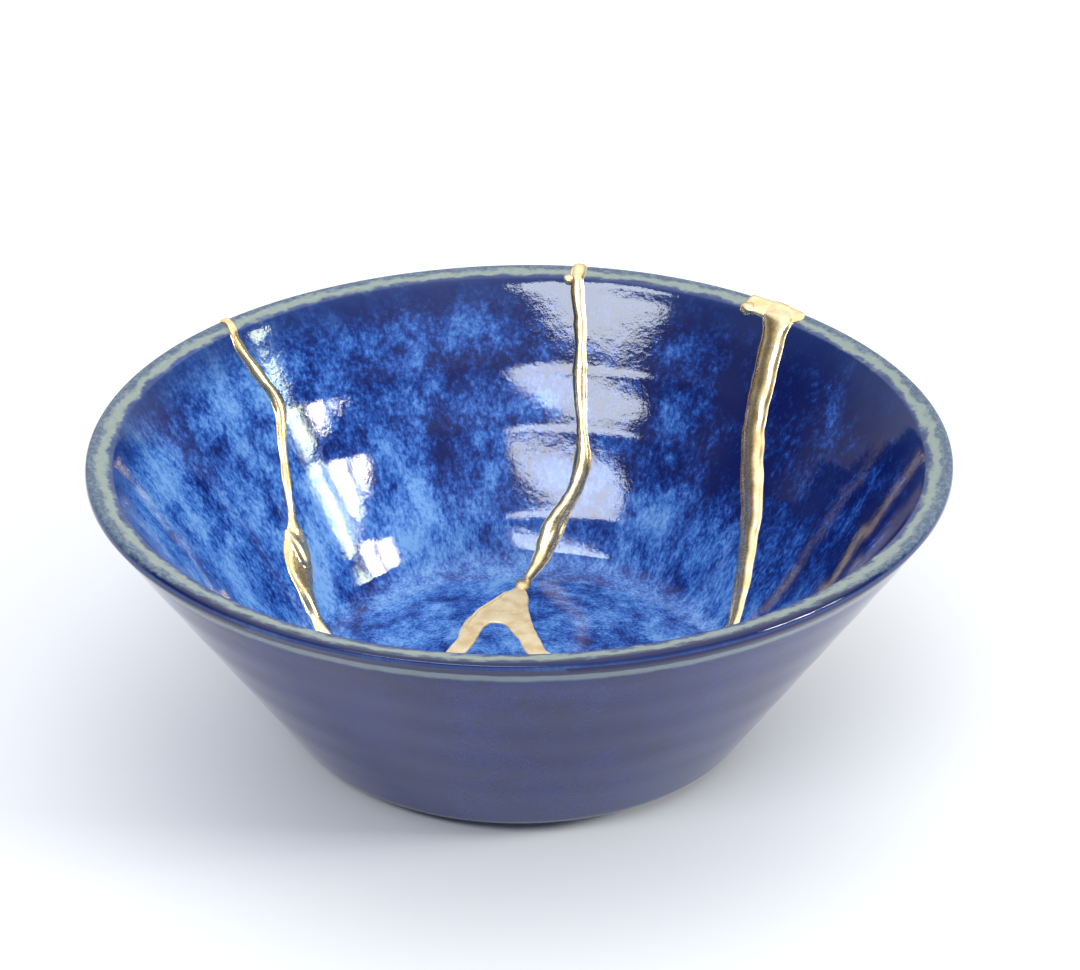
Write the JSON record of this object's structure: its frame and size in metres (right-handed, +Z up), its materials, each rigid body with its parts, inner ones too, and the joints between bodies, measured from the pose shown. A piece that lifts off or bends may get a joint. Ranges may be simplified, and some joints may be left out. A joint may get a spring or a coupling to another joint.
{
  "type": "kintsugi bowl",
  "caption": "Wide conical glazed stoneware bowl on a low foot ring, broken and mended with raised gold lacquer seams.",
  "frame": {"origin": "middle of the foot ring's underside, on the surface the bowl stands on", "axes": "+Z up along the bowl's axis, +Y towards the middle gold seam at the back, +X to the right as seen from the front"},
  "size_m": [0.16, 0.1602, 0.0607],
  "materials": {
    "glaze": "gloss",
    "gold": "polished"
  },
  "bodies": {
    "root": {"front_sherd": "glaze", "back_left_sherd": "glaze", "back_right_sherd": "glaze", "gold_seam": "gold"}
  },
  "joints": []
}
